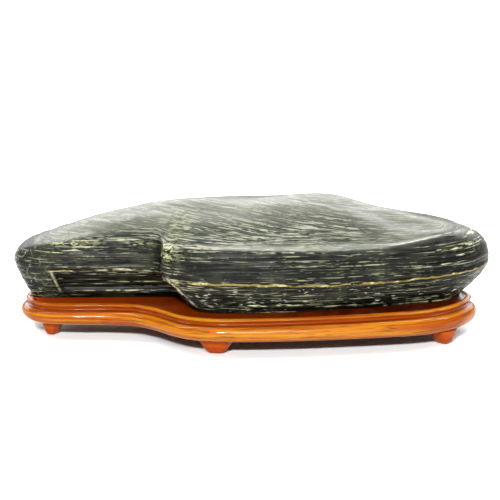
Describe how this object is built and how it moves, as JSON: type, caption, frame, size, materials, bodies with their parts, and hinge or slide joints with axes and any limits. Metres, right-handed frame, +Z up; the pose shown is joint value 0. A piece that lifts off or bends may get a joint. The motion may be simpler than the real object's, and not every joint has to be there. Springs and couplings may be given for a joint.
{
  "type": "scholars rock on wooden stand",
  "caption": "Long layered viewing stone with a sloping plateau top and a stepped front, resting in the seat of a carved, varnished wooden stand on short feet.",
  "frame": {"origin": "on the table, under the middle of the stone and its stand", "axes": "+X along the length towards the rounded end of the stone, -Y towards the stepped front face, +Z up"},
  "size_m": [0.3411, 0.1254, 0.0957],
  "materials": {
    "stone": "waxed dark grey-green layered stone with pale veins, half gloss",
    "stand_wood": "varnished orange-brown wood, gloss",
    "foot_wood": "varnished red-brown wood, half gloss"
  },
  "bodies": {
    "root": {"stone": "stone", "stand_tray": "stand_wood", "foot_front_left": "foot_wood", "foot_front_centre": "foot_wood", "foot_front_right": "foot_wood", "foot_back_right": "foot_wood", "foot_back_centre": "foot_wood", "foot_back_left": "foot_wood"}
  },
  "joints": []
}
